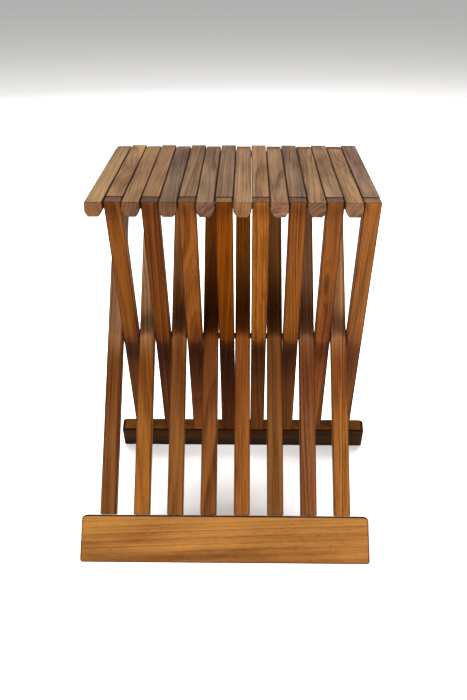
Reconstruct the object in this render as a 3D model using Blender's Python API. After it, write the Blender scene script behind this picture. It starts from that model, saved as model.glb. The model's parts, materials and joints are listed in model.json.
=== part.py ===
"""A folding slatted shower stool in teak.

Two comb-like frames cross like an X. Each frame is a foot board with eight legs tenoned into it. The
legs of the two frames alternate from left to right, and a rod runs through all sixteen where they cross.
Sixteen seat slats fill the top: the odd ones hinge on a rod through the leg tops at the front edge, the
even ones on a rod through the leg tops at the back edge. The free end of each slat stops just short of
the leg top opposite, rests against that leg's slope, and rides up over it as the stool folds flat.

The origin is on the floor under the middle of the seat. X runs to the right, Y to the back, Z up.
"""

import math

import bmesh
import bpy
from mathutils import Matrix, Vector

# Driving dimensions, in metres and radians
SEAT_HEIGHT = 0.469
SEAT_DEPTH = 0.314  # between the outer faces of the leg tops
LEAN = math.radians(32.6)  # each frame leans this far from upright
PLACES = 16  # slats, and legs, from left to right
PITCH = 0.02135  # from one place to the next

SLAT_WIDTH = 0.0209
SLAT_HEIGHT = 0.018
SLAT_OVERHANG = 0.003  # how far a slat's hinged end stands out past the legs beside it
SLAT_END_GAP = 0.0009  # between a slat's free end and the leg it rests against
CHAMFER_WIDTH = 0.0042  # along the slat's two lower edges
CHAMFER_HEIGHT = 0.0062
EASE = 0.0012  # the sanded round on every long edge
END_EASE = 0.0007  # and round a slat's two ends

LEG_WIDTH = 0.0206
LEG_THICKNESS = 0.018
LEG_TOP_DROP = 0.0008  # the cut tops lie this far below the slats
TENON_INSET = 0.004
TENON_LENGTH = 0.024

BOARD_LENGTH = 0.3655
BOARD_THICKNESS = 0.020
BOARD_FACE = 0.0585  # the outer face, measured up the lean from the floor
BOARD_ROUND = 0.0032  # on its long upper edges
BOARD_CORNER_WIDTH = 0.008  # of the rounded upper corners
BOARD_CORNER_HEIGHT = 0.0055
BOARD_FOOT_EASE = 0.0012

ROD_RADIUS = 0.004
BORE_RADIUS = 0.0045
HINGE_DEPTH = 0.009  # the hinge rods' centres, below the seat
PLUG_RADIUS = 0.0057
PLUG_SEAT_RADIUS = 0.0061
PLUG_THICKNESS = 0.004
PLUG_BED = 0.0005  # between a rod's end and the plug that hides it

FIT = 0.0003  # clearance between pieces that meet
CUT_OVERRUN = 0.002  # how far a cutting shape stands out of the face it enters
MORTISE_SPARE = 0.001  # left free under a tenon's end
ROUND_SIDES = 12
CORNER_STEPS = 4  # of a board's rounded corner
SMOOTH_ANGLE = math.radians(40)  # a round's sides shade as one below it
AXIS_SIZE = 0.03  # of the empties that mark the hinge lines
TINY = 1e-6

# What follows from them
UP_LEAN = Vector((0.0, math.sin(LEAN), math.cos(LEAN)))  # up along the front foot's legs
OUT_LEAN = Vector((0.0, -math.cos(LEAN), math.sin(LEAN)))  # out of the front board's outer face
LEG_DEPTH = LEG_THICKNESS / math.cos(LEAN)  # of a leg cut level
LEG_TOP_Y = (SEAT_DEPTH - LEG_DEPTH) / 2  # middle of a leg at seat height
PIVOT_Z = SEAT_HEIGHT - LEG_TOP_Y / math.tan(LEAN)
HINGE_Z = SEAT_HEIGHT - HINGE_DEPTH
HINGE_Y = (HINGE_Z - PIVOT_Z) * math.tan(LEAN)
LEG_TOP_Z = SEAT_HEIGHT - LEG_TOP_DROP
BOARD_TOP = BOARD_FACE - BOARD_THICKNESS / 2 * math.tan(LEAN)  # up the lean, from the board's middle
FOOT_Y = -PIVOT_Z * math.tan(LEAN)  # where the front legs' middle line meets the floor

TEAK = (0.50, 0.26, 0.11)
TEAK_WORN = (0.37, 0.25, 0.17)
TEAK_DARK = (0.27, 0.14, 0.07)
STEEL = (0.62, 0.61, 0.59)


def place_x(place):
    """The middle of a place, counted from 1 at the left."""
    return (place - (PLACES + 1) / 2) * PITCH


def material(name, colour, roughness, metallic=0.0):
    made = bpy.data.materials.get(name) or bpy.data.materials.new(name)
    made.use_nodes = True
    made.diffuse_color = (*colour, 1.0)
    shader = made.node_tree.nodes["Principled BSDF"]
    shader.inputs["Base Color"].default_value = (*colour, 1.0)
    shader.inputs["Roughness"].default_value = roughness
    shader.inputs["Metallic"].default_value = metallic
    return made


def add_object(name, bm, finish, parent=None):
    """Turns a bmesh in world space into a named object, kept in place under its parent."""
    bmesh.ops.recalc_face_normals(bm, faces=bm.faces)
    mesh = bpy.data.meshes.new(name)
    if parent is not None:
        bmesh.ops.transform(bm, matrix=Matrix.Translation(-parent.location), verts=bm.verts)
    bm.to_mesh(mesh)
    bm.free()
    mesh.materials.append(finish)
    made = bpy.data.objects.new(name, mesh)
    made.parent = parent
    bpy.context.scene.collection.objects.link(made)
    return made


def add_axis(name, y, z):
    """An empty on a hinge line that runs from left to right."""
    axis = bpy.data.objects.new(name, None)
    axis.location = (0.0, y, z)
    axis.empty_display_size = AXIS_SIZE
    bpy.context.scene.collection.objects.link(axis)
    return axis


def extrude_outline(points, direction):
    """A closed bar whose end is the outline and whose length is the direction."""
    bm = bmesh.new()
    end = bm.faces.new([bm.verts.new(p) for p in points])
    grown = bmesh.ops.extrude_face_region(bm, geom=[end], use_keep_orig=True)
    moved = [v for v in grown["geom"] if isinstance(v, bmesh.types.BMVert)]
    bmesh.ops.translate(bm, verts=moved, vec=direction)
    return bm


def slice_off(bm, point, normal):
    """Removes what lies beyond a plane and closes the cut."""
    everything = bm.verts[:] + bm.edges[:] + bm.faces[:]
    bmesh.ops.bisect_plane(bm, geom=everything, plane_co=point, plane_no=normal, clear_outer=True)
    bmesh.ops.holes_fill(bm, edges=[edge for edge in bm.edges if edge.is_boundary])


def cylinder(radius, x0, x1, y, z, sides=ROUND_SIDES):
    """A round bar from x0 to x1."""
    bm = bmesh.new()
    turned = Matrix.Translation(((x0 + x1) / 2, y, z)) @ Matrix.Rotation(math.pi / 2, 4, "Y")
    bmesh.ops.create_cone(
        bm, cap_ends=True, segments=sides, radius1=radius, radius2=radius, depth=x1 - x0, matrix=turned
    )
    return bm


def smooth(made):
    made.data.shade_smooth()
    made.data.set_sharp_from_angle(angle=SMOOTH_ANGLE)


def cut(made, bm):
    """Cuts a bmesh in world space out of an object."""
    tool = add_object(made.name + "_cutter", bm, made.data.materials[0], made.parent)
    tool.hide_render = True
    tool.display_type = "WIRE"
    boolean = made.modifiers.new("Cut", "BOOLEAN")
    boolean.operation = "DIFFERENCE"
    boolean.solver = "EXACT"
    boolean.object = tool


def merge_into(bm, other):
    """Adds the other bmesh's faces to this one and frees it."""
    mesh = bpy.data.meshes.new("joined")
    other.to_mesh(mesh)
    other.free()
    bm.from_mesh(mesh)
    bpy.data.meshes.remove(mesh)
    return bm


def bore(x0, x1, y, z):
    return cylinder(BORE_RADIUS, x0, x1, y, z)


def plug_seat(x_face, side, y, z):
    """A counterbore for a plug; side is -1 at a piece's left face and +1 at its right face."""
    inner = x_face - side * (PLUG_THICKNESS + PLUG_BED)
    outer = x_face + side * CUT_OVERRUN
    return cylinder(PLUG_SEAT_RADIUS, min(inner, outer), max(inner, outer), y, z)


def slat_outline(x):
    """The slat's end, seen from the front: eased top corners and broad chamfers below."""
    half = SLAT_WIDTH / 2
    top = SEAT_HEIGHT
    bottom = SEAT_HEIGHT - SLAT_HEIGHT
    right = [
        (half - CHAMFER_WIDTH, bottom),
        (half, bottom + CHAMFER_HEIGHT),
        (half, top - EASE),
        (half - EASE, top),
    ]
    left = [(-across, up) for across, up in reversed(right)]
    return [Vector((x + across, 0.0, up)) for across, up in right + left]


def make_slat(place, axis):
    """A slat lies along Y. Its hinged end is at the front on odd places and at the back on even ones."""
    front = -1 if place % 2 else 1
    x = place_x(place)
    hinged_y = front * (SEAT_DEPTH / 2 + SLAT_OVERHANG)
    free_y = -front * SEAT_DEPTH / 2
    outline = slat_outline(x)
    for point in outline:
        point.y = hinged_y
    bm = extrude_outline(outline, Vector((0.0, free_y - hinged_y, 0.0)))
    # the free end is cut to the slope of the leg it rests against
    slope = Vector((0.0, -front * math.cos(LEAN), -math.sin(LEAN)))
    on_leg = Vector((0.0, -front * LEG_TOP_Y, SEAT_HEIGHT))
    end = on_leg - slope * (LEG_THICKNESS / 2 + SLAT_END_GAP)
    slice_off(bm, end, slope)
    rims = [e for e in bm.edges if abs(e.verts[0].co.y - e.verts[1].co.y) < SLAT_HEIGHT]
    bmesh.ops.bevel(bm, geom=rims, offset=END_EASE, segments=1, affect="EDGES", clamp_overlap=True)
    slat = add_object(f"seat_slat_{place:02d}", bm, material("Worn teak", TEAK_WORN, 0.62), axis)
    half = SLAT_WIDTH / 2 + CUT_OVERRUN
    hole_y = front * HINGE_Y
    cut(slat, bore(x - half, x + half, hole_y, HINGE_Z))
    if place == 1:
        cut(slat, plug_seat(x - SLAT_WIDTH / 2, -1, hole_y, HINGE_Z))
    if place == PLACES:
        cut(slat, plug_seat(x + SLAT_WIDTH / 2, 1, hole_y, HINGE_Z))
    return slat


def leg_side(place):
    """The legs at odd places stand on the front board (+1); those at even places on the back one (-1)."""
    return 1 if place % 2 else -1


def lean_frame(side):
    """Directions up the lean and out of the foot board, for the front (+1) or back (-1) frame."""
    mirror = Vector((1.0, side, 1.0))
    return UP_LEAN * mirror, OUT_LEAN * mirror


def make_leg(place, parent):
    """A square bar with eased edges, a level top and a tenon at its foot."""
    side = leg_side(place)
    up, out = lean_frame(side)
    x = place_x(place)
    foot = Vector((x, side * FOOT_Y, 0.0)) + up * (BOARD_TOP + FIT)
    half_x = LEG_WIDTH / 2
    half_out = LEG_THICKNESS / 2
    ring = ((-half_x, -half_out), (half_x, -half_out), (half_x, half_out), (-half_x, half_out))
    corners = [foot + Vector((across, 0, 0)) + out * deep for across, deep in ring]
    bm = extrude_outline(corners, up * (SEAT_HEIGHT / math.cos(LEAN)))
    slice_off(bm, (0.0, 0.0, LEG_TOP_Z), (0.0, 0.0, 1.0))
    eased = bm.edges[:]
    shoulder = min(bm.faces, key=lambda face: face.calc_center_median().z)
    bmesh.ops.inset_region(bm, faces=[shoulder], thickness=TENON_INSET, use_even_offset=True)
    tenon = bmesh.ops.extrude_face_region(bm, geom=[shoulder])
    end = [v for v in tenon["geom"] if isinstance(v, bmesh.types.BMVert)]
    bmesh.ops.translate(bm, verts=end, vec=-up * TENON_LENGTH)
    bmesh.ops.delete(bm, geom=[shoulder], context="FACES")
    bmesh.ops.bevel(bm, geom=eased, offset=EASE, segments=1, affect="EDGES", clamp_overlap=True)
    leg = add_object(f"leg_{place:02d}", bm, material("Oiled teak", TEAK, 0.5), parent)
    half = LEG_WIDTH / 2 + CUT_OVERRUN
    hinge_y = side * HINGE_Y
    cut(leg, bore(x - half, x + half, 0.0, PIVOT_Z))
    cut(leg, bore(x - half, x + half, hinge_y, HINGE_Z))
    if place == 1:
        cut(leg, plug_seat(x - half_x, -1, 0.0, PIVOT_Z))
        cut(leg, plug_seat(x - half_x, -1, hinge_y, HINGE_Z))
    if place == PLACES:
        cut(leg, plug_seat(x + half_x, 1, 0.0, PIVOT_Z))
        cut(leg, plug_seat(x + half_x, 1, hinge_y, HINGE_Z))
    return leg


def board_outline():
    """The board's face: (across, up the lean). The upper corners are quarter ellipses."""
    half = BOARD_LENGTH / 2
    below_floor = -BOARD_THICKNESS  # sawn off level later
    right = [(half, below_floor)]
    for step in range(CORNER_STEPS + 1):
        turn = math.pi / 2 * step / CORNER_STEPS
        across = half - BOARD_CORNER_WIDTH * (1 - math.cos(turn))
        right.append((across, BOARD_TOP - BOARD_CORNER_HEIGHT * (1 - math.sin(turn))))
    return right + [(-across, up) for across, up in reversed(right)]


def make_board(name, side, parent):
    """A foot board: cut level underneath, rounded along its top, with a mortise for each leg."""
    up, out = lean_frame(side)
    centre = Vector((-side * PITCH / 2, side * FOOT_Y, 0.0))
    inner = [
        centre + Vector((across, 0, 0)) + up * height - out * BOARD_THICKNESS / 2
        for across, height in board_outline()
    ]
    bm = extrude_outline(inner, out * BOARD_THICKNESS)
    upper = [
        edge
        for edge in bm.edges
        if abs((edge.verts[0].co - edge.verts[1].co).dot(out)) < TINY
        and all((v.co - centre).dot(up) > BOARD_TOP - BOARD_CORNER_HEIGHT - TINY for v in edge.verts)
    ]
    bmesh.ops.bevel(
        bm, geom=upper, offset=BOARD_ROUND, segments=2, profile=0.5, affect="EDGES", clamp_overlap=True
    )
    slice_off(bm, (0.0, 0.0, 0.0), (0.0, 0.0, -1.0))
    sole = [e for e in bm.edges if all(abs(v.co.z) < TINY for v in e.verts)]
    bmesh.ops.bevel(bm, geom=sole, offset=BOARD_FOOT_EASE, segments=1, affect="EDGES", clamp_overlap=True)
    board = add_object(name, bm, material("Oiled teak", TEAK, 0.5), parent)
    mortises = bmesh.new()
    for place in range(1 if side > 0 else 2, PLACES + 1, 2):
        head = Vector((place_x(place), side * FOOT_Y, 0.0)) + up * (BOARD_TOP + CUT_OVERRUN)
        across = Vector((LEG_WIDTH / 2 - TENON_INSET + FIT, 0, 0))
        deep = out * (LEG_THICKNESS / 2 - TENON_INSET + FIT)
        ring = [head - across - deep, head + across - deep, head + across + deep, head - across + deep]
        slot = extrude_outline(ring, -up * (CUT_OVERRUN + TENON_LENGTH + MORTISE_SPARE))
        bmesh.ops.recalc_face_normals(slot, faces=slot.faces)
        merge_into(mortises, slot)
    cut(board, mortises)
    return board


def make_rod(name, left, right, y, z, parent):
    bm = cylinder(ROD_RADIUS, left, right, y, z)
    rod = add_object(name, bm, material("Steel", STEEL, 0.3, 1.0), parent)
    smooth(rod)


def make_plug(name, x_face, side, y, z, parent):
    """A thin round of teak that closes the counterbore over a rod's end, flush with the face."""
    inner = x_face - side * PLUG_THICKNESS
    bm = cylinder(PLUG_RADIUS, min(inner, x_face), max(inner, x_face), y, z)
    plug = add_object(name, bm, material("Teak end grain", TEAK_DARK, 0.6), parent)
    smooth(plug)


def build():
    for old in list(bpy.data.objects):
        bpy.data.objects.remove(old, do_unlink=True)
    pivot = add_axis("axis_frame_fold", 0.0, PIVOT_Z)
    front_hinge = add_axis("axis_front_slats", -HINGE_Y, HINGE_Z)
    rear_hinge = add_axis("axis_rear_slats", HINGE_Y, HINGE_Z)
    for place in range(1, PLACES + 1):
        make_slat(place, front_hinge if place % 2 else rear_hinge)
        make_leg(place, pivot)
    make_board("front_foot_board", 1, pivot)
    make_board("rear_foot_board", -1, pivot)

    inset = PLUG_THICKNESS + PLUG_BED
    first, last = place_x(1), place_x(PLACES)
    slat_left, slat_right = first - SLAT_WIDTH / 2, last + SLAT_WIDTH / 2
    leg_left, leg_right = first - LEG_WIDTH / 2, last + LEG_WIDTH / 2
    ends = FIT + inset
    make_rod("pivot_rod", leg_left + ends, leg_right - ends, 0.0, PIVOT_Z, pivot)
    make_rod("front_hinge_rod", slat_left + ends, leg_right - ends, -HINGE_Y, HINGE_Z, pivot)
    make_rod("rear_hinge_rod", leg_left + ends, slat_right - ends, HINGE_Y, HINGE_Z, pivot)
    make_plug("pivot_plug_left", leg_left, -1, 0.0, PIVOT_Z, pivot)
    make_plug("pivot_plug_right", leg_right, 1, 0.0, PIVOT_Z, pivot)
    make_plug("front_hinge_plug_left", slat_left, -1, -HINGE_Y, HINGE_Z, front_hinge)
    make_plug("front_hinge_plug_right", leg_right, 1, -HINGE_Y, HINGE_Z, pivot)
    make_plug("rear_hinge_plug_left", leg_left, -1, HINGE_Y, HINGE_Z, pivot)
    make_plug("rear_hinge_plug_right", slat_right, 1, HINGE_Y, HINGE_Z, rear_hinge)


build()
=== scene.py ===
# %% [markdown]
# # A folding teak shower stool
# Two comb-like frames of teak cross like an X and carry a seat of sixteen narrow slats. The CAD model
# already holds every size and every hinge. This file gives each piece its finished shape and its wood,
# and it never moves a piece. The first cell loads the CAD model as a frame to build around.

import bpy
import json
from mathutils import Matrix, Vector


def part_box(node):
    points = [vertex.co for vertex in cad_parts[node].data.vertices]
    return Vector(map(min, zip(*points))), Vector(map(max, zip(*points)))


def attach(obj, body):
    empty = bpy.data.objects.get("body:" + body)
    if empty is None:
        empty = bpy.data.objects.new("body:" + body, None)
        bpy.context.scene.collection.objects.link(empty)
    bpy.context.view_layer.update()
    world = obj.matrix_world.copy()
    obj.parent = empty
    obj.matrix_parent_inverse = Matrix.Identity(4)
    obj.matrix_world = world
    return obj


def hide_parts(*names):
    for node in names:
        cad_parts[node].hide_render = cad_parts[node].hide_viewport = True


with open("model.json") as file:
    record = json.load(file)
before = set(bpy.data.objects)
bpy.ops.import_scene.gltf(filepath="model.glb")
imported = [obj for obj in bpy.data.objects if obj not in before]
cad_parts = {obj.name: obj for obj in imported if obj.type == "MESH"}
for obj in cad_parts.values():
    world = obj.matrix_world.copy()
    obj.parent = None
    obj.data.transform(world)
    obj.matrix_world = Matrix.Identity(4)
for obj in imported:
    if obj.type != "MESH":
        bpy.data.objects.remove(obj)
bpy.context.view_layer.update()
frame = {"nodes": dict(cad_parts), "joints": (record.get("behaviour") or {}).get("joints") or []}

# %% [markdown]
# ## Sizes
# Where a piece starts and ends can be read from the frame: the joints give the three rods' centres, and
# the line from the pivot to a hinge is a leg's middle line, so it also gives the lean. The boxes of the
# nodes give widths and heights. Only sizes that no box shows, such as a leg's thickness across its
# lean, are named here.

# %% Read the sizes
import json
import math
import random

import bmesh
import bpy
from mathutils import Matrix, Vector

PLACES = 16
LEG_THICKNESS = 0.018
BOARD_THICKNESS = 0.020
BOARD_FACE = 0.0585  # a foot board's outer face, up the lean from the floor
FIT = 0.0003  # a leg's shoulder stands this far above its board

joint_at = {joint["name"]: Vector(joint["pos_m"]) for joint in frame["joints"]}
pivot = joint_at["frame_fold"]
hinges = {"front": joint_at["slat_01_lift"], "rear": joint_at["slat_02_lift"]}
lean = math.atan2(hinges["rear"].y, hinges["rear"].z - pivot.z)
seat_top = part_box("seat_slat_01")[1].z
leg_low, leg_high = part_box("leg_01")
leg_width = leg_high.x - leg_low.x
board_top = BOARD_FACE - BOARD_THICKNESS / 2 * math.tan(lean)


def middle_x(node):
    """The middle of a CAD node, from left to right."""
    low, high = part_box(node)
    return (low.x + high.x) / 2


pitch = (middle_x("seat_slat_16") - middle_x("seat_slat_01")) / (PLACES - 1)


def place_x(number):
    """The middle of a place, counted from 1 at the left."""
    return (number - (PLACES + 1) / 2) * pitch


print(f"pitch {pitch * 1000:.2f} mm")
print(f"lean {math.degrees(lean):.1f} degrees, legs {leg_width * 1000:.1f} mm wide, seat at {seat_top:.3f} m")

# %% [markdown]
# ## Camera, floor and light
# The stool is seen from in front and a little above, square on. The lens is long enough to keep the
# upright lines calm. The studio is plain: a pale floor that runs out of sight, a softbox in front at
# each side, a large one above, a weak one behind, and a pale surround that fills the shadows.

# %% Camera
CAMERA_AT = Vector((0.0166, -1.2831, 0.7688))
CAMERA_PITCH = math.radians(15.92)  # below the horizon
CAMERA_YAW = math.radians(0.82)  # to the left
LENS_PER_SENSOR = 1.4606
LENS_SHIFT = -0.186  # the lens sits high on the film, which keeps the legs upright

lens = bpy.data.cameras.new("Front view")
lens.sensor_width = 36.0
lens.lens = 36.0 * LENS_PER_SENSOR
lens.shift_y = LENS_SHIFT
camera = bpy.data.objects.new("Front view", lens)
camera.location = CAMERA_AT
camera.rotation_euler = (math.pi / 2 - CAMERA_PITCH, 0.0, CAMERA_YAW)
bpy.context.scene.collection.objects.link(camera)
bpy.context.scene.camera = camera

print("camera at", tuple(round(part, 3) for part in CAMERA_AT))


# %% Colours
def linear(code, alpha=1.0):
    """An sRGB hex colour such as "#a06a3c" as the linear values that shaders work in."""
    parts = [int(code.lstrip("#")[i : i + 2], 16) / 255 for i in (0, 2, 4)]
    return (*[c / 12.92 if c <= 0.04045 else ((c + 0.055) / 1.055) ** 2.4 for c in parts], alpha)


def add_node(tree, kind, settings=None, inputs=None):
    """Adds a node. settings are its properties; inputs are values, or the sockets that they come from."""
    node = tree.nodes.new(kind)
    for name, value in (settings or {}).items():
        setattr(node, name, value)
    for name, value in (inputs or {}).items():
        if isinstance(value, bpy.types.NodeSocket):
            tree.links.new(value, node.inputs[name])
        else:
            node.inputs[name].default_value = value
    return node


print("pure white is", linear("#ffffff"))


# %% Floor
def new_material(name):
    """An empty material with a Principled shader, and the parts that the recipes need."""
    made = bpy.data.materials.new(name)
    made.use_nodes = True
    made.node_tree.nodes.clear()
    shader = add_node(made.node_tree, "ShaderNodeBsdfPrincipled")
    add_node(made.node_tree, "ShaderNodeOutputMaterial", inputs={"Surface": shader.outputs["BSDF"]})
    return made, made.node_tree, shader


FLOOR_SIZE = 60.0  # so wide that its far edge is out of sight
bm = bmesh.new()
bmesh.ops.create_grid(bm, x_segments=1, y_segments=1, size=FLOOR_SIZE / 2)
floor_mesh = bpy.data.meshes.new("Floor")
bm.to_mesh(floor_mesh)
bm.free()
floor = bpy.data.objects.new("Floor", floor_mesh)
bpy.context.scene.collection.objects.link(floor)
paper, paper_tree, paper_shader = new_material("Matt white paper")
paper_shader.inputs["Base Color"].default_value = linear("#f8f7f5")
paper_shader.inputs["Roughness"].default_value = 0.9
floor_mesh.materials.append(paper)
print("floor", FLOOR_SIZE, "m across")


# %% Lights
def add_softbox(name, at, size, watts):
    """A square area light that looks at the middle of the stool."""
    data = bpy.data.lights.new(name, "AREA")
    data.size = size
    data.energy = watts
    light = bpy.data.objects.new(name, data)
    light.location = at
    light.rotation_euler = (pivot - Vector(at)).to_track_quat("-Z", "Y").to_euler()
    bpy.context.scene.collection.objects.link(light)
    return light


add_softbox("Left softbox", (-2.1, -1.6, 0.95), 1.3, 105)
add_softbox("Right softbox", (2.1, -1.6, 0.95), 1.3, 105)
add_softbox("Top softbox", (0.1, 0.5, 3.0), 3.4, 190)
add_softbox("Back softbox", (-1.0, 2.6, 1.8), 1.6, 45)
world = bpy.data.worlds.new("Pale surround")
world.use_nodes = True
surround = world.node_tree.nodes["Background"]
surround.inputs["Color"].default_value = linear("#ffffff")
surround.inputs["Strength"].default_value = 0.45
bpy.context.scene.world = world
bpy.context.scene.view_settings.view_transform = "Standard"

# %% [markdown]
# ## Teak
# Teak is a hardwood with an oily, golden to dark brown heart. What the eye reads as its grain is three
# things at three sizes: growth rings, a few millimetres apart, that run as long lines on the sides of a
# stick and as arcs on its cut end; fibres, drawn here about a millimetre wide so that they show; and
# open pores, short dark dashes as fine as a hair.
#
# A picture wrapped round each stick would show its seams, so the wood is made as a solid instead: a
# ring is the distance from the tree's heart, and whatever face cuts through it shows the right line or
# arc. No two sticks of teak match, so each one carries its own wood as attributes on its mesh:
#
# - grain: its place inside the tree in metres, with X along the trunk
# - tone, high and worn: its colour, its colour above the crossing, and the colour of its upper faces; tone
#   and high also carry painted light and shade
# - mark: where the stick's knot is, and streak: how dark its veins are
# - edge: 1 on the eased edges and on the sides that face a neighbour, which are darkened as painted shade

# %% Teak recipe
FIBRE_MM = 1.3  # real fibres are finer than can be seen
PORE_MM = 0.7
BROAD_MM = 24.0  # patches of lighter and darker wood
PORE_STRETCH = 12  # length for their width
BROAD_STRETCH = 6
KNOT_MM = (38.0, 6.0, 8.0)  # the rings swell round a small knot, along the stick and across it
KNOT_SWELL = 0.005
CHECK_MM = (13.0, 0.7, 3.0)  # and a dark crack, called a check, opens in it
WANDER_PER_M = (3, 18, 18)  # how often the rings wander, along the trunk and across it
TAPER = 0.022  # the rings close in along the trunk, so that they meet a face as long arcs
VEIN_EVERY = 0.42  # veins for each ring
VEIN_SHARE = 0.72
MEAN_LIGHT = 0.645
LATE_DARK = 0.2
PORE_DARK = 0.14
SHADES = (
    (0.18, (0.36, 0.27, 0.22, 1)),
    (0.42, (0.70, 0.62, 0.56, 1)),
    (0.62, (1.0, 1.0, 1.0, 1)),
    (1.0, (1.55, 1.52, 1.38, 1)),
)
HIGH_FROM, HIGH_TO = -0.03, 0.02  # from the crossing up
# painted shade just under the crossing, where one row of legs shades the other
CROSSING_SHADE_BELOW = 0.035  # under the crossing
CROSSING_SHADE_REACH = 0.075
CROSSING_SHADE_SHARE = 0.45
CROSSING_SHADE_TINT = "#b08468"
WORN_SOFTNESS = 0.18
END_TINT = "#bfb0a8"
# the foot boards are darker towards the floor, in a band with an uneven edge
FOOT_DARK_LOW, FOOT_DARK_HIGH = 0.016, 0.036
FOOT_DARK_SHARE = 0.55
FOOT_DARK_TINT = "#9c7f88"
FOOT_DARK_WAVE = 0.03
OIL_IOR = 1.48
OIL_SHEEN = 0.02  # the oil has dried into the wood, so that hardly any gloss is left
RELIEF = 0.0003


def maths(tree, operation, *values):
    """A number worked out from others."""
    return add_node(tree, "ShaderNodeMath", {"operation": operation}, dict(enumerate(values))).outputs[0]


def vector_maths(tree, operation, *values):
    """The same for vectors. A length and a dot product are numbers."""
    node = add_node(tree, "ShaderNodeVectorMath", {"operation": operation}, dict(enumerate(values)))
    return node.outputs["Value" if operation in ("LENGTH", "DOT_PRODUCT") else "Vector"]


def soft_step(tree, value, low, high, at_low=0.0, at_high=1.0):
    """at_low up to low, at_high from high on, and a smooth change between them."""
    limits = {"From Min": low, "From Max": high, "To Min": at_low, "To Max": at_high}
    node = add_node(
        tree, "ShaderNodeMapRange", {"interpolation_type": "SMOOTHSTEP"}, {"Value": value, **limits}
    )
    return node.outputs[0]


def noise(tree, at, scale, detail, output="Fac"):
    """Noise that is stretched by a scale for each axis."""
    scaled = add_node(tree, "ShaderNodeMapping", inputs={"Vector": at, "Scale": scale})
    inputs = {"Vector": scaled.outputs[0], "Scale": 1.0, "Detail": detail}
    return add_node(tree, "ShaderNodeTexNoise", inputs=inputs).outputs[output]


def blend(tree, share, under, over):
    """One colour over another."""
    inputs = {"Factor": share, "A": under, "B": over}
    return add_node(tree, "ShaderNodeMix", {"data_type": "RGBA"}, inputs).outputs["Result"]


def tinted(tree, colour, tint):
    """A colour multiplied by a tint, as a stain darkens wood."""
    settings = {"data_type": "RGBA", "blend_type": "MULTIPLY"}
    inputs = {"Factor": 1.0, "A": colour, "B": tint}
    return add_node(tree, "ShaderNodeMix", settings, inputs).outputs["Result"]


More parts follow.
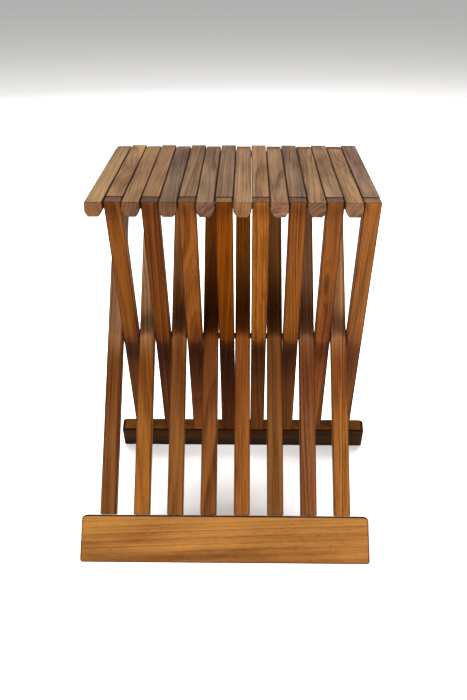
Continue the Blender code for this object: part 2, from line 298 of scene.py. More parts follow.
def teak(
    name,
    roughness,
    vein,
    edge_shade_tint,
    ring_mm=3.4,
    drift=0.012,
    fibre=0.8,
    stretch=110,
    patches=0.65,
    ring_share=0.75,
    end_axis=None,
    worn_from=None,
    crossing=None,
    dark_foot=False,
):
    """Teak as a solid, with a Principled shader.

    vein colours the dark lines, and edge_shade_tint darkens the eased edges and the sides that face a
    neighbour as painted shade. drift is how far the rings wander, in metres. ring_share, fibre and patches
    are how strongly those three show, and stretch is how long the fibres are for their width. end_axis is the
    side that shows end grain. Faces that point up past worn_from are worn. Above the height of crossing
    the stick takes its second tone, which carries painted light and shade. damp darkens the wood near
    the floor.
    """
    made, tree, shader = new_material(name)

    def written(label, output="Vector"):
        return add_node(tree, "ShaderNodeAttribute", {"attribute_name": label}).outputs[output]

    grain = written("grain")
    tone = written("tone")
    place = add_node(tree, "ShaderNodeTexCoord").outputs["Object"]
    height = add_node(tree, "ShaderNodeSeparateXYZ", inputs={0: place}).outputs["Z"]
    # above the crossing the stick takes its second tone; the two tones carry painted light and shade
    if crossing:
        above = soft_step(tree, height, crossing + HIGH_FROM, crossing + HIGH_TO)
        tone = blend(tree, above, tone, written("high"))
        # painted shade: the stick is darkened just below the place where the legs cross, where the other row
        # of legs shades it
        from_crossing_shade = maths(tree, "ABSOLUTE", maths(tree, "SUBTRACT", height, crossing - CROSSING_SHADE_BELOW))
        crossing_shade = soft_step(tree, from_crossing_shade, 0.0, CROSSING_SHADE_REACH, CROSSING_SHADE_SHARE, 0.0)
        tone = blend(tree, crossing_shade, tone, tinted(tree, tone, linear(CROSSING_SHADE_TINT)))

    # the trunk isn't straight: the rings wander by a few millimetres
    wander = noise(tree, grain, WANDER_PER_M, 2.0, "Color")
    centred = vector_maths(tree, "SUBTRACT", wander, (0.5, 0.5, 0.5))
    pushed = vector_maths(tree, "MULTIPLY_ADD", centred, (0.0, drift, drift), grain)
    radius = vector_maths(tree, "LENGTH", vector_maths(tree, "MULTIPLY", pushed, (TAPER, 1, 1)))
    mark = written("mark")
    near = {}
    for label, spread in (("knot", KNOT_MM), ("check", CHECK_MM)):
        sized = vector_maths(tree, "MULTIPLY", mark, tuple(1000 / size for size in spread))
        squared = vector_maths(tree, "DOT_PRODUCT", sized, sized)
        near[label] = maths(tree, "EXPONENT", maths(tree, "MULTIPLY", squared, -1.0))
    swollen = maths(tree, "MULTIPLY_ADD", near["knot"], KNOT_SWELL, radius)
    rings = maths(tree, "MULTIPLY", swollen, 1000 / ring_mm)
    bands = add_node(
        tree,
        "ShaderNodeTexNoise",
        {"noise_dimensions": "1D"},
        {"W": rings, "Scale": 1.0, "Detail": 3.0, "Roughness": 0.55},
    ).outputs["Fac"]
    # each ring ends in a thin dark line of late wood
    late = soft_step(tree, maths(tree, "FRACT", rings), 0.62, 0.98)
    # and in some sticks every second or third ring is stained dark, which makes a vein
    veins = maths(tree, "MULTIPLY_ADD", rings, VEIN_EVERY, bands)
    dark_rings = soft_step(tree, maths(tree, "FRACT", veins), 0.60, 0.95)
    veined = maths(tree, "MULTIPLY", dark_rings, written("streak", "Fac"))
    dark = maths(tree, "MAXIMUM", veined, near["check"])

    patterns = {}
    for label, width_mm, longer, detail in (
        ("fibre", FIBRE_MM, stretch, 2.0),
        ("pore", PORE_MM, PORE_STRETCH, 0.0),
        ("broad", BROAD_MM, BROAD_STRETCH, 3.0),
    ):
        scale = 1000 / width_mm
        patterns[label] = noise(tree, grain, (scale / longer, scale, scale), detail)
    pores = soft_step(tree, patterns["pore"], 0.60, 0.72)

    # lightness of the wood from 0, dark, to 1, pale
    level = MEAN_LIGHT - (ring_share + fibre + patches) / 2
    light = maths(tree, "MULTIPLY_ADD", bands, ring_share, level)
    for source, share in (
        (patterns["fibre"], fibre),
        (patterns["broad"], patches),
        (late, -LATE_DARK * ring_share),
        (pores, -PORE_DARK),
    ):
        light = maths(tree, "MULTIPLY_ADD", source, share, light)
    ramp = add_node(tree, "ShaderNodeValToRGB", inputs={"Fac": light})
    stops = ramp.color_ramp.elements
    while len(stops) < len(SHADES):
        stops.new(0.5)
    for stop, (position, shade_colour) in zip(stops, SHADES):
        stop.position = position
        stop.color = shade_colour
    shade = ramp.outputs["Color"]
    colour = tinted(tree, tone, shade)

    # which way the surface faces on the stick itself, so that a pose doesn't change it
    facing = add_node(tree, "ShaderNodeTexCoord").outputs["Normal"]
    if worn_from:
        upward = add_node(tree, "ShaderNodeSeparateXYZ", inputs={0: facing}).outputs["Z"]
        on_top = soft_step(tree, upward, worn_from, worn_from + WORN_SOFTNESS)
        colour = blend(tree, on_top, colour, tinted(tree, written("worn"), shade))
    if end_axis:
        # end grain drinks more water and dirt, so it is darker and greyer
        toward_end = maths(tree, "ABSOLUTE", vector_maths(tree, "DOT_PRODUCT", facing, end_axis))
        end = soft_step(tree, toward_end, 0.86, 0.985)
        colour = blend(tree, end, colour, tinted(tree, colour, linear(END_TINT)))
    colour = blend(tree, maths(tree, "MULTIPLY", dark, VEIN_SHARE), colour, linear(vein))
    if dark_foot:
        # the wood is darker towards the floor, in a band with an uneven edge
        uneven = maths(tree, "MULTIPLY_ADD", patterns["broad"], FOOT_DARK_WAVE, height)
        darkened_foot = soft_step(tree, uneven, FOOT_DARK_LOW, FOOT_DARK_HIGH, FOOT_DARK_SHARE, 0.0)
        colour = blend(tree, darkened_foot, colour, tinted(tree, colour, linear(FOOT_DARK_TINT)))
    # painted shade: the eased edges and the sides that face a neighbour are darkened as if in shade
    colour = blend(tree, written("edge", "Fac"), colour, tinted(tree, colour, linear(edge_shade_tint)))
    tree.links.new(colour, shader.inputs["Base Color"])

    # dark wood is the more open and the rougher
    rough = add_node(
        tree,
        "ShaderNodeMapRange",
        inputs={"Value": light, "To Min": roughness + 0.14, "To Max": roughness - 0.06},
    )
    tree.links.new(rough.outputs[0], shader.inputs["Roughness"])
    relief = maths(tree, "MULTIPLY_ADD", pores, -0.6, patterns["fibre"])
    bump = add_node(
        tree, "ShaderNodeBump", inputs={"Height": relief, "Strength": 0.35, "Distance": RELIEF}
    )
    tree.links.new(bump.outputs[0], shader.inputs["Normal"])
    shader.inputs["IOR"].default_value = OIL_IOR
    shader.inputs["Specular IOR Level"].default_value = OIL_SHEEN
    return made


# Slats lie along Y. Water stands on them and on the level tops of the legs, which are both worn grey.
# Boards lie along X, and their upper edges lean, so a smaller share of them has to point up.
slat_teak = teak("Worn teak", 0.56, "#2c2426", "#8a7550", patches=1.1, end_axis=(0, 1, 0), worn_from=0.81)
leg_teak = teak("Oiled teak, legs", 0.46, "#1c0d05", "#b5946e", worn_from=0.81, crossing=pivot.z)
board_teak = teak(
    "Oiled teak, boards",
    0.46,
    "#2a1408",
    "#c08a58",
    ring_mm=8.0,
    drift=0.005,
    fibre=0.5,
    stretch=320,
    patches=0.8,
    ring_share=0.4,
    end_axis=(1, 0, 0),
    worn_from=0.62,
    dark_foot=True,
)
print("made", slat_teak.name, leg_teak.name, board_teak.name)

# %% [markdown]
# ## Turning a tree of nodes into plain pieces
# A slat and a leg are the same thing to a carpenter: a stick with a cross-section, a length and two
# sawn ends. So one Geometry Nodes tree makes both. It draws the cross-section from its corners, runs it
# along a line, slopes the ends, sets out a row of copies and turns and tilts them into place. Modelling
# thirty-two sticks by hand would give thirty-two chances for a mistake, and one tree has one.
#
# Small rounds come from a Bevel modifier after the tree, and the bores for the rods from a Boolean after
# that, in the order of the workshop. Weighted normals then keep the broad faces flat and let the small
# rounds shade softly.

# %% A tree for a row of sticks
STICK_INPUTS = {
    "Width": "Float",
    "Height": "Float",
    "Length": "Float",
    "Chamfer Width": "Float",
    "Chamfer Height": "Float",
    "Start Slope": "Float",
    "End Slope": "Float",
    "Start": "Vector",
    "Tilt": "Float",
    "Turn": "Float",
    "Count": "Int",
    "Spacing": "Float",
    "Variation": "Float",
    "Seed": "Int",
    "Material": "Material",
}
# Each corner of the cross-section, drawn upside down because Curve to Mesh turns it over: its side of
# the middle, then how the chamfer moves it
CORNERS = (
    ((-1, 1, 0), (1, 0, 0)),
    ((-1, 1, 0), (0, -1, 0)),
    ((-1, -1, 0), (0, 0, 0)),
    ((1, -1, 0), (0, 0, 0)),
    ((1, 1, 0), (0, -1, 0)),
    ((1, 1, 0), (-1, 0, 0)),
)


def row_of_sticks():
    """A tree whose sticks start at Start and run along +Y before they are tilted and turned."""
    tree = bpy.data.node_groups.new("Row of sticks", "GeometryNodeTree")
    tree.is_modifier = True
    for label, kind in STICK_INPUTS.items():
        tree.interface.new_socket(label, in_out="INPUT", socket_type="NodeSocket" + kind)
    tree.interface.new_socket("Geometry", in_out="OUTPUT", socket_type="NodeSocketGeometry")
    size = add_node(tree, "NodeGroupInput").outputs

    # the cross-section: six corners, of which a chamfer of nothing merges two pairs
    index = add_node(tree, "GeometryNodeInputIndex").outputs[0]
    picks = []
    for part in (0, 1):
        pick = add_node(tree, "GeometryNodeIndexSwitch", {"data_type": "VECTOR"}, {"Index": index})
        while len(pick.index_switch_items) < len(CORNERS):
            pick.index_switch_items.new()
        for number, corner in enumerate(CORNERS):
            pick.inputs[str(number)].default_value = corner[part]
        picks.append(pick.outputs[0])
    full = add_node(tree, "ShaderNodeCombineXYZ", inputs={"X": size["Width"], "Y": size["Height"]})
    half_size = add_node(
        tree, "ShaderNodeVectorMath", {"operation": "SCALE"}, {0: full.outputs[0], "Scale": 0.5}
    )
    chamfer = add_node(
        tree, "ShaderNodeCombineXYZ", inputs={"X": size["Chamfer Width"], "Y": size["Chamfer Height"]}
    )
    moved = add_node(
        tree, "ShaderNodeVectorMath", {"operation": "MULTIPLY"}, {0: picks[1], 1: chamfer.outputs[0]}
    )
    corner_at = add_node(
        tree,
        "ShaderNodeVectorMath",
        {"operation": "MULTIPLY_ADD"},
        {0: picks[0], 1: half_size.outputs[0], 2: moved.outputs[0]},
    )
    points = add_node(tree, "GeometryNodeMeshLine", inputs={"Count": len(CORNERS)})
    corners = add_node(
        tree,
        "GeometryNodeSetPosition",
        inputs={"Geometry": points.outputs[0], "Position": corner_at.outputs[0]},
    )
    merged = add_node(
        tree, "GeometryNodeMergeByDistance", inputs={"Geometry": corners.outputs[0], "Distance": 1e-5}
    )
    drawn = add_node(tree, "GeometryNodeMeshToCurve", inputs={"Mesh": merged.outputs[0]})
    section = add_node(
        tree, "GeometryNodeSetSplineCyclic", inputs={"Geometry": drawn.outputs[0], "Cyclic": True}
    )

    # the stick: the section run along a line, its ends sloped
    reach = add_node(tree, "ShaderNodeCombineXYZ", inputs={"Y": size["Length"]})
    line = add_node(tree, "GeometryNodeCurvePrimitiveLine", inputs={"End": reach.outputs[0]})
    bar = add_node(
        tree,
        "GeometryNodeCurveToMesh",
        inputs={"Curve": line.outputs[0], "Profile Curve": section.outputs[0], "Fill Caps": True},
    )
    here = add_node(
        tree, "ShaderNodeSeparateXYZ", inputs={0: add_node(tree, "GeometryNodeInputPosition").outputs[0]}
    )
    slope = add_node(
        tree,
        "ShaderNodeMapRange",
        inputs={
            "Value": here.outputs["Y"],
            "From Max": size["Length"],
            "To Min": size["Start Slope"],
            "To Max": size["End Slope"],
        },
    )
    slide = add_node(
        tree, "ShaderNodeMath", {"operation": "MULTIPLY"}, {0: slope.outputs[0], 1: here.outputs["Z"]}
    )
    offset = add_node(tree, "ShaderNodeCombineXYZ", inputs={"Y": slide.outputs[0]})
    stick = add_node(
        tree, "GeometryNodeSetPosition", inputs={"Geometry": bar.outputs[0], "Offset": offset.outputs[0]}
    )

    # the row: no two sticks are planed to quite the same width
    step = add_node(tree, "ShaderNodeCombineXYZ", inputs={"X": size["Spacing"]})
    row = add_node(
        tree,
        "GeometryNodeMeshLine",
        inputs={"Count": size["Count"], "Start Location": size["Start"], "Offset": step.outputs[0]},
    )
    least = add_node(tree, "ShaderNodeMath", {"operation": "SUBTRACT"}, {0: 1.0, 1: size["Variation"]})
    planed = add_node(
        tree,
        "FunctionNodeRandomValue",
        {"data_type": "FLOAT"},
        {"Min": least.outputs[0], "Max": 1.0, "Seed": size["Seed"]},
    )
    scale = add_node(tree, "ShaderNodeCombineXYZ", inputs={"X": planed.outputs["Value"], "Y": 1.0, "Z": 1.0})
    lie = add_node(tree, "ShaderNodeCombineXYZ", inputs={"X": size["Tilt"], "Z": size["Turn"]})
    placed = add_node(
        tree,
        "GeometryNodeInstanceOnPoints",
        inputs={
            "Points": row.outputs[0],
            "Instance": stick.outputs[0],
            "Rotation": lie.outputs[0],
            "Scale": scale.outputs[0],
        },
    )
    real = add_node(tree, "GeometryNodeRealizeInstances", inputs={"Geometry": placed.outputs[0]})
    finished = add_node(
        tree, "GeometryNodeSetMaterial", inputs={"Geometry": real.outputs[0], "Material": size["Material"]}
    )
    add_node(tree, "NodeGroupOutput", inputs={"Geometry": finished.outputs[0]})
    return tree


sticks = row_of_sticks()
print("the tree has", len(sticks.nodes), "nodes and", len(STICK_INPUTS), "inputs")

# %% [markdown]
# ## Rounds, bores and plain meshes
# The bores and the wooden plugs are both turned shapes, so one small function turns an outline round a
# line from left to right, as a lathe does. An outline that steps outwards near its end gives a bore
# with the wider seat in which a plug sits.

# %% Turn, ease, cut and keep
def turned(outline, y, z, sides=40):
    """A closed mesh: each (x, radius) of the outline is a ring round the line at y, z."""
    bm = bmesh.new()
    rings = []
    for x, radius in outline:
        turns = [math.tau * side / sides for side in range(sides)]
        rings.append([bm.verts.new((x, y + radius * math.cos(t), z + radius * math.sin(t))) for t in turns])
    for ring, following in zip(rings, rings[1:]):
        for side in range(sides):
            onward = (side + 1) % sides
            bm.faces.new((ring[side], ring[onward], following[onward], following[side]))
    for ring in (rings[0], rings[-1]):
        bm.faces.new(ring)
    bmesh.ops.recalc_face_normals(bm, faces=bm.faces)
    mesh = bpy.data.meshes.new("Turned")
    bm.to_mesh(mesh)
    bm.free()
    return mesh


def keep(name, rough, ease, segments=3, cutters=()):
    """Eases the edges, cuts the bores, and turns what the modifiers make into one plain, closed piece."""
    bevel = rough.modifiers.new("Ease", "BEVEL")
    bevel.width = ease
    bevel.segments = segments
    bevel.limit_method = "ANGLE"
    bevel.angle_limit = math.radians(30)
    bevel.harden_normals = False
    tools = []
    for mesh in cutters:
        tool = bpy.data.objects.new("Cutter", mesh)
        bpy.context.scene.collection.objects.link(tool)
        cut = rough.modifiers.new("Bore", "BOOLEAN")
        cut.operation = "DIFFERENCE"
        cut.solver = "EXACT"
        cut.object = tool
        tools.append(tool)
    rough.modifiers.new("Even shading", "WEIGHTED_NORMAL").keep_sharp = True
    seen = rough.evaluated_get(bpy.context.evaluated_depsgraph_get())
    mesh = bpy.data.meshes.new_from_object(seen, depsgraph=bpy.context.evaluated_depsgraph_get())
    mesh.name = name
    # the walls that the cutters leave get the stick's own wood
    wood_finish = next(material for material in mesh.materials if material)
    mesh.materials.clear()
    mesh.materials.append(wood_finish)
    mesh.polygons.foreach_set("material_index", [0] * len(mesh.polygons))
    for old in (rough, *tools):
        bpy.data.objects.remove(old)
    piece = bpy.data.objects.new(name, mesh)
    bpy.context.scene.collection.objects.link(piece)
    return piece


def cut_sticks(name, sizes, ease, cutters=()):
    """Runs the tree with these inputs and keeps the result as one piece."""
    rough = bpy.data.objects.new(name + ".rough", bpy.data.meshes.new("Empty"))
    bpy.context.scene.collection.objects.link(rough)
    nodes = rough.modifiers.new("Sticks", "NODES")
    nodes.node_group = sticks
    sockets = {item.name: item.identifier for item in sticks.interface.items_tree if item.in_out == "INPUT"}
    for label, value in sizes.items():
        nodes[sockets[label]] = value
    return keep(name, rough, ease, cutters=cutters)


def open_edges(mesh):
    """How many edges don't lie between exactly two faces, and the volume. A closed piece has none."""
    bm = bmesh.new()
    bm.from_mesh(mesh)
    count = sum(not edge.is_manifold for edge in bm.edges)
    volume = bm.calc_volume(signed=True)
    bm.free()
    return count, volume


print("bores and plugs are turned, and the edges are eased by a bevel")

# %% [markdown]
# ## Every stick's own wood
# The colours below go from left to right. The seat has been wetted and dried, so its upper faces are
# greyer and paler than the oiled wood of its sides. The legs, which stay drier, keep the orange of
# oiled teak, from honey to a dark red-brown. Each stick also gets a random place in the tree, from a
# fixed seed, and a few have a dark vein. The tones of the slats, the legs and the boards were fitted by
# a separate helper program. Only the front board's top and the plugs were coloured by hand.

# %% Colours of the sticks
SLAT_TOPS = (
    "#604829 #614627 #573d1f #543b20 #443120 #523c27 #55412e #513c29 "
    "#5b452e #5d452e #5e4834 #534030 #5c4631 #5c4735 #624b34 #584537"
).split()
SLAT_SIDES = (
    "#6c5036 #6c5032 #624836 #6c5032 #5e4534 #6c5032 #695445 #654539 "
    "#73573a #6c5032 #7b604c #6c5032 #654f3f #6c5032 #765d47 #6c5032"
).split()
# LEG_HIGH and LEG_LOW are the legs' colours above and below the crossing, with painted light and shade in
# them:
# the lower halves of the even legs, at the back, are darkened as painted shade, and the upper halves of the
# odd legs are painted lighter at the sides and darker in the middle
LEG_HIGH = (
    "#6f5139 #532e0c #7b5a3d #492508 #613e20 #59310f #412106 #4c2300 "
    "#542c09 #653a10 #4d2e14 #56300f #583b27 #522d10 #785437 #5f3817"
).split()
LEG_LOW = (
    "#533215 #472507 #5e3813 #472306 #543315 #552c0a #502e13 #3a1700 "
    "#5c3514 #522c08 #4e3015 #522c0b #513019 #673913 #69401b #563111"
).split()
LEG_TOPS = (
    "#543212 #3a1601 #513212 #1e0601 #472d12 #38240e #4e3113 #513d20 "
    "#543313 #45311d #4e3113 #3f3127 #513212 #4b3a2e #543313 #5c4631"
).split()
BOARD_TOPS = {"front": "#3a2410", "rear": "#482b06"}
# the rear board's tone is darkened as painted shade: its inner face looks down and forward behind the legs
# and gets little light
BOARD_TONES = {"front": "#724c23", "rear": "#281604"}
STREAKS = {3: 0.3, 5: 0.5, 7: 0.3, 8: 1.0, 12: 0.6, 14: 0.7, 16: 0.4}  # dark veins in some slats
LEG_STREAKS = {1: 0.6, 2: 0.3, 4: 0.5, 6: 0.2, 14: 0.8, 15: 0.6, 16: 0.5}
TREE_SEED = 11

wood = random.Random(TREE_SEED)
GRAIN_PLACES = {}
for kind in ("slat", "leg", "board"):
    for number in range(1, PLACES + 1):
        GRAIN_PLACES[kind, number] = {
            "from_heart": Vector(
                (wood.uniform(-3, 3), wood.uniform(0.05, 0.14), wood.uniform(-0.02, 0.02))
            ),
            "turn": wood.uniform(0, math.tau),
            "stray": (math.radians(wood.uniform(-1.6, 1.6)), math.radians(wood.uniform(-1.6, 1.6))),
        }


def sawn(kind, number, from_heart, turn, slant):
    """Gives a stick a chosen place in the tree. slant is how its lines run on its broad face."""
    chosen = {"from_heart": Vector(from_heart), "turn": turn, "stray": (0.0, slant)}
    GRAIN_PLACES[kind, number].update(chosen)


# the boards are sawn so that their rings run as long bands that lie a little aslant
sawn("board", 1, (0.3, 0.104, 0.03), 0.1, math.radians(-2.2))
sawn("board", 2, (0.7, 0.085, 0.02), 0.2, math.radians(1.0))
# three slats in the middle show broad figure on their tops: one aslant, then two along the slat
sawn("slat", 7, (1.4, 0.11, 0.0), 0.8, 0.01)
sawn("slat", 8, (0.2, 0.09, 0.02), 0.0, 0.0)
sawn("slat", 9, (-1.1, 0.12, 0.01), 0.25, 0.0)
# small knots: along the stick from its own middle, or for a leg from the floor up the lean, and across
KNOTS = {("leg", 14): (0.41, -0.003), ("slat", 15): (0.03, 0.004)}
NOWHERE = Vector((9.0, 9.0, 9.0))  # too far from a stick without a knot for anything to show
ASLANT = 0.96  # a face whose normal has no larger part along the stick's own axes lies aslant
EASED_WIDTH = 0.0022  # and an eased edge is narrower than this


def season(
    piece,
    kind,
    lie,
    middle_of,
    stick_of,
    tone_of,
    top_of=None,
    streaks=None,
    neighbour_shade=None,
    high_of=None,
):
    """Writes each stick's wood on its mesh.

    lie turns the piece's axes into along, across and deep. stick_of says which stick a vertex is in, and
    middle_of, tone_of, top_of and high_of take its number. shut says which faces lie close to a
    neighbour; they are darkened as painted shade.
    """
    mesh = piece.data
    for label in ("grain", "tone", "high", "worn", "mark"):
        mesh.attributes.new(label, "FLOAT_VECTOR", "POINT")
    mesh.attributes.new("streak", "FLOAT", "POINT")
    mesh.attributes.new("edge", "FLOAT", "FACE")
    grain, tone, high, worn, mark, streak, edge = (
        mesh.attributes[label] for label in ("grain", "tone", "high", "worn", "mark", "streak", "edge")
    )
    for vertex in mesh.vertices:
        number = stick_of(vertex.co)
        place = GRAIN_PLACES[kind, number]
        stray = Matrix.Rotation(place["stray"][0], 3, "Y") @ Matrix.Rotation(place["stray"][1], 3, "Z")
        local = lie @ (vertex.co - middle_of(number))
        at = Matrix.Rotation(place["turn"], 3, "X") @ (stray @ local)
        grain.data[vertex.index].vector = at + place["from_heart"]
        tone.data[vertex.index].vector = linear(tone_of(number))[:3]
        high.data[vertex.index].vector = linear((high_of or tone_of)(number))[:3]
        worn.data[vertex.index].vector = linear((top_of or tone_of)(number))[:3]
        streak.data[vertex.index].value = (streaks or {}).get(number, 0.0)
        knot = KNOTS.get((kind, number))
        mark.data[vertex.index].vector = local - Vector((*knot, local.z)) if knot else NOWHERE
    for face in mesh.polygons:
        # the small faces that lie aslant are the eased edges
        square = max(abs(part) for part in lie @ face.normal)
        narrow = min((mesh.vertices[a].co - mesh.vertices[b].co).length for a, b in face.edge_keys)
        eased = square < ASLANT and narrow < EASED_WIDTH
        # eased edges and sides that face a neighbour get 1, for the painted shade
        edge.data[face.index].value = 1.0 if eased or (neighbour_shade and neighbour_shade(face)) else 0.0


print("sticks with a knot:", *[f"{kind} {number}" for kind, number in KNOTS])

# %% [markdown]
# ## The seat slats
# Each slat is square sawn, with its two lower edges planed off at a steep angle, so that the thigh meets
# no corner and water runs off. One end is bored for a hinge rod and stands a little proud of the
# legs beside it. The other end is sawn to the slope of the leg that it rests against. Every slat is a
# body of its own, because each one lifts on its own hinge when the stool folds.

# %% Seat slats
SLAT_EASE = 0.0010
SLAT_END_GAP = 0.0009  # between a slat's free end and the leg that it rests against
SLAT_END_SPARE = 0.0012  # the free ends are sawn by hand, each a little shorter
SLAT_SHIFTS = {4: -0.0001, 7: -0.0001, 10: -0.0001, 12: 0.0001, 15: -0.0001}  # the gaps are uneven
SLAT_SPARE = {9: 0.0003}  # one slat was sawn a little wider
CHAMFER = (0.0042, 0.0062)
BORE = 0.0045  # radii of the bore and of the wider seat of a plug
PLUG_SEAT = 0.0058
PLUG_DEPTH = 0.0045
BORE_OVER = 0.002  # a cutter runs out past the wood by this much
SLAT_VARIATION = 0.015  # a slat is planed up to this share narrower
slat_low, slat_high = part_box("seat_slat_01")
slat_width = slat_high.x - slat_low.x
slat_height = slat_high.z - slat_low.z
hinged_end = -slat_low.y
hinge = hinges["rear"]
leg_top_y = (seat_top - pivot.z) * math.tan(lean)
free_end = leg_top_y - (LEG_THICKNESS / 2 + SLAT_END_GAP) / math.cos(lean)
slat_length = hinged_end + free_end - slat_height / 2 * math.tan(lean)


def bore_outline(left, right, plug_left=False, plug_right=False):
    """A rod's bore that runs out past both faces, with a wider seat where a plug goes in."""
    outline = [(left - BORE_OVER, BORE), (right + BORE_OVER, BORE)]
    if plug_left:
        step = left + PLUG_DEPTH
        outline[:1] = [(left - BORE_OVER, PLUG_SEAT), (step, PLUG_SEAT), (step, BORE)]
    if plug_right:
        step = right - PLUG_DEPTH
        outline[-1:] = [(step, BORE), (step, PLUG_SEAT), (right + BORE_OVER, PLUG_SEAT)]
    return outline


for number in range(1, PLACES + 1):
    front = number % 2 == 1
    x = place_x(number) + SLAT_SHIFTS.get(number, 0.0)
    width = slat_width + SLAT_SPARE.get(number, 0.0)
    left, right = x - width / 2, x + width / 2
    side = -1 if front else 1
    outer_x = -1 if number == 1 else 1 if number == PLACES else 0
    bore = bore_outline(left, right, number == 1, number == PLACES)
    cutter = turned(bore, side * hinge.y, hinge.z)
    slat = cut_sticks(
        f"slat_teak_{number:02d}",
        {
            "Width": width,
            "Height": slat_height,
            "Length": slat_length - random.Random(number).uniform(0, SLAT_END_SPARE),
            "Chamfer Width": CHAMFER[0],
            "Chamfer Height": CHAMFER[1],
            "Start Slope": 0.0,
            "End Slope": math.tan(lean),
            "Start": (x, side * hinged_end, seat_top - slat_height / 2),
            "Tilt": 0.0,
            "Turn": 0.0 if front else math.pi,
            "Count": 1,
            "Spacing": 0.0,
            "Variation": SLAT_VARIATION,
            "Seed": number,
            "Material": slat_teak,
        },
        SLAT_EASE,
        [cutter],
    )
    season(
        slat,
        "slat",
        Matrix(((0, 1, 0), (1, 0, 0), (0, 0, 1))),
        lambda n: Vector((place_x(n), 0.0, seat_top - slat_height / 2)),
        lambda at, number=number: number,
        lambda n: SLAT_SIDES[n - 1],
        lambda n: SLAT_TOPS[n - 1],
        STREAKS,
        # the sides that face a neighbour are darkened as painted shade
        lambda face, outer_x=outer_x: abs(face.normal.x) > 0.9 and face.normal.x * outer_x < 0.9,
    )
    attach(slat, f"slat_{number:02d}")
    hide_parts(f"seat_slat_{number:02d}")
print("slats:", PLACES, "open edges and volume of the last:", open_edges(slat.data))

# %% [markdown]
# ## The legs
# Eight legs stand on each foot board and lean across the stool to the seat at the other side. The two
# rows alternate, so each leg of one row passes between two legs of the other, and a steel rod pins all
# sixteen where they cross. The tops are sawn level with the seat.

# %% Legs
LEG_EASE = 0.0012
LEG_VARIATION = 0.02
FRAMES = {"front": (1, 1, "front_foot_frame"), "rear": (-1, 2, "rear_foot_frame")}
foot_y = -pivot.z * math.tan(lean)
leg_top = leg_high.z
for foot, (side, first, body) in FRAMES.items():
    up = Vector((0, side * math.sin(lean), math.cos(lean)))
    out = Vector((0, -side * math.cos(lean), math.sin(lean)))
    start_up = board_top + FIT
    start = Vector((place_x(first), side * foot_y, 0.0)) + up * start_up
    numbers = range(first, PLACES + 1, 2)
    left, right = place_x(numbers[0]) - leg_width / 2, place_x(numbers[-1]) + leg_width / 2
    bore = bore_outline(left, right, foot == "front", foot == "rear")
    cutters = [turned(bore, pivot.y, pivot.z), turned(bore, side * hinge.y, hinge.z)]
    legs = cut_sticks(
        f"{foot}_legs_teak",
        {
            "Width": leg_width,
            "Height": LEG_THICKNESS,
            "Length": leg_top / math.cos(lean) - start_up,
            "Chamfer Width": 0.0,
            "Chamfer Height": 0.0,
            "Start Slope": 0.0,
            "End Slope": -math.tan(lean),
            "Start": start,
            "Tilt": math.pi / 2 - lean,
            "Turn": 0.0 if foot == "front" else math.pi,
            "Count": len(numbers),
            "Spacing": 2 * pitch,
            "Variation": LEG_VARIATION,
            "Seed": first,
            "Material": leg_teak,
        },
        LEG_EASE,
        cutters,
    )
    season(
        legs,
        "leg",
        Matrix((up, (1, 0, 0), out)),
        lambda n, side=side: Vector((place_x(n), side * foot_y, 0.0)),
        lambda at: min(PLACES, max(1, round(at.x / pitch + (PLACES + 1) / 2))),
        lambda n: LEG_LOW[n - 1],
        lambda n: LEG_TOPS[n - 1],
        LEG_STREAKS,
        high_of=lambda n: LEG_HIGH[n - 1],
    )
    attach(legs, body)
    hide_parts(*[f"leg_{n:02d}" for n in numbers])
    print(foot, "legs: open edges and volume", open_edges(legs.data))

# %% [markdown]
# ## The foot boards
# A foot board is a plank on edge, leaning with its legs, cut level where it meets the floor and with
# its two upper corners rounded off. It is drawn as an outline and given its thickness, which is how a
# joiner marks and saws it.

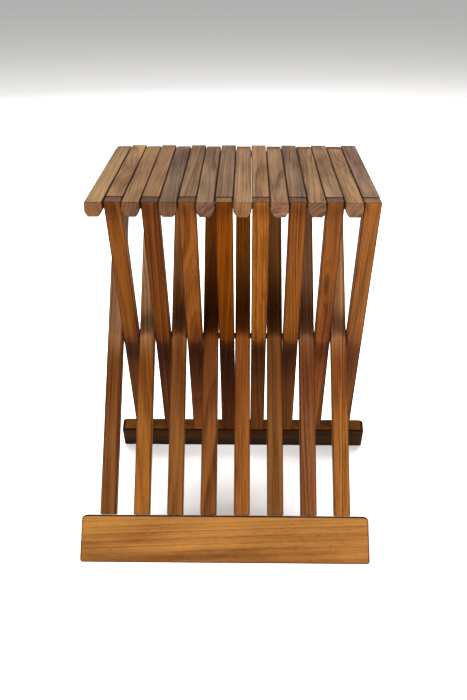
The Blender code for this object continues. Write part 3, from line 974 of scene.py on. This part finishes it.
# %% Foot boards
BOARD_ROUND = 0.0028  # the radius of every edge
BOARD_ROUND_STEPS = 5
CORNER = (0.008, 0.0055)  # width and height of the rounded upper corners
CORNER_STEPS = 12
for foot, (side, first, body) in FRAMES.items():
    up = Vector((0, side * math.sin(lean), math.cos(lean)))
    out = Vector((0, -side * math.cos(lean), math.sin(lean)))
    low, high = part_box(f"{foot}_foot_board")
    middle = Vector(((low.x + high.x) / 2, side * foot_y, 0.0))
    half_length = (high.x - low.x) / 2
    outline = [(half_length, -BOARD_THICKNESS)]
    for step in range(CORNER_STEPS + 1):
        turn = math.pi / 2 * step / CORNER_STEPS
        outline.append(
            (half_length - CORNER[0] * (1 - math.cos(turn)), board_top - CORNER[1] * (1 - math.sin(turn)))
        )
    outline += [(-across, height) for across, height in reversed(outline)]
    bm = bmesh.new()
    back = bm.faces.new(
        [bm.verts.new(middle + Vector((a, 0, 0)) + up * h - out * BOARD_THICKNESS / 2) for a, h in outline]
    )
    grown = bmesh.ops.extrude_face_region(bm, geom=[back], use_keep_orig=True)
    bmesh.ops.translate(
        bm, verts=[v for v in grown["geom"] if isinstance(v, bmesh.types.BMVert)], vec=out * BOARD_THICKNESS
    )
    everything = bm.verts[:] + bm.edges[:] + bm.faces[:]
    bmesh.ops.bisect_plane(bm, geom=everything, plane_co=(0, 0, 0), plane_no=(0, 0, -1), clear_outer=True)
    bmesh.ops.holes_fill(bm, edges=[edge for edge in bm.edges if edge.is_boundary])
    bmesh.ops.recalc_face_normals(bm, faces=bm.faces)
    rough = bpy.data.objects.new("Board.rough", bpy.data.meshes.new("Board"))
    bpy.context.scene.collection.objects.link(rough)
    bm.to_mesh(rough.data)
    bm.free()
    rough.data.shade_smooth()
    rough.data.materials.append(board_teak)
    board = keep(f"{foot}_board_teak", rough, BOARD_ROUND, segments=BOARD_ROUND_STEPS)
    season(
        board,
        "board",
        Matrix(((1, 0, 0), up, out)),
        lambda n, middle=middle: middle,
        lambda at, first=first: first,
        lambda n, foot=foot: BOARD_TONES[foot],
        lambda n, foot=foot: BOARD_TOPS[foot],
    )
    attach(board, body)
    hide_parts(f"{foot}_foot_board")
    print(foot, "board: open edges and volume", open_edges(board.data))

# %% [markdown]
# ## Plugs and rods
# The ends of the rods are hidden by short wooden plugs, glued in flush. A plug is cut across the grain,
# so its face shows the rings as arcs. The rods are stainless steel and can only be glimpsed between the
# sticks, so the CAD rods stay, with a brushed finish.

# %% Plugs
PLUG_RADIUS = 0.0057
PLUG_THICKNESS = 0.004
PLUG_EASE = 0.0004
PLUG_EASE_STEPS = 4
PLUG_TONE = "#5c4426"
plug_teak = teak("Teak end grain", 0.55, "#1c0d05", "#b5946e", ring_mm=1.6, end_axis=(1, 0, 0))
PLUGS = {
    "pivot_plug_left": (-1, "front_foot_frame"),
    "rear_hinge_plug_left": (-1, "front_foot_frame"),
    "pivot_plug_right": (1, "rear_foot_frame"),
    "front_hinge_plug_right": (1, "rear_foot_frame"),
    "front_hinge_plug_left": (-1, "slat_01"),
    "rear_hinge_plug_right": (1, "slat_16"),
}
for number, (node, (side, body)) in enumerate(PLUGS.items(), 1):
    low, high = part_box(node)
    face = low.x if side < 0 else high.x
    inner = face - side * PLUG_THICKNESS
    middle = (low + high) / 2
    outline = [(inner, PLUG_RADIUS)]
    for step in range(PLUG_EASE_STEPS + 1):
        turn = math.pi / 2 * step / PLUG_EASE_STEPS
        drop = PLUG_EASE * (1 - math.sin(turn))
        outline.append((face - side * drop, PLUG_RADIUS - PLUG_EASE * (1 - math.cos(turn))))
    plug = bpy.data.objects.new(f"{node}_teak", turned(sorted(outline), middle.y, middle.z))
    bpy.context.scene.collection.objects.link(plug)
    plug.data.materials.append(plug_teak)
    season(
        plug,
        "leg",
        Matrix.Identity(3),
        lambda n, middle=middle: middle,
        lambda at, number=number: number,
        lambda n: PLUG_TONE,
    )
    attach(plug, body)
    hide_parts(node)
print("plugs:", len(PLUGS))

# %% Rods
steel, steel_tree, steel_shader = new_material("Brushed stainless steel")
steel_at = add_node(steel_tree, "ShaderNodeTexCoord").outputs["Object"]
brushed = add_node(steel_tree, "ShaderNodeMapping", inputs={"Vector": steel_at, "Scale": (30, 2500, 2500)})
scratches = add_node(
    steel_tree, "ShaderNodeTexNoise", inputs={"Vector": brushed.outputs[0], "Scale": 1.0, "Detail": 2.0}
)
polish = add_node(
    steel_tree,
    "ShaderNodeMapRange",
    inputs={"Value": scratches.outputs["Fac"], "To Min": 0.42, "To Max": 0.62},
)
steel_tree.links.new(polish.outputs[0], steel_shader.inputs["Roughness"])
steel_shader.inputs["Base Color"].default_value = linear("#77736e")
steel_shader.inputs["Metallic"].default_value = 1.0
for node in ("pivot_rod", "front_hinge_rod", "rear_hinge_rod"):
    rod = frame["nodes"][node]
    for slot_index in range(len(rod.material_slots)):
        rod.material_slots[slot_index].material = steel
print("rods are", steel.name)
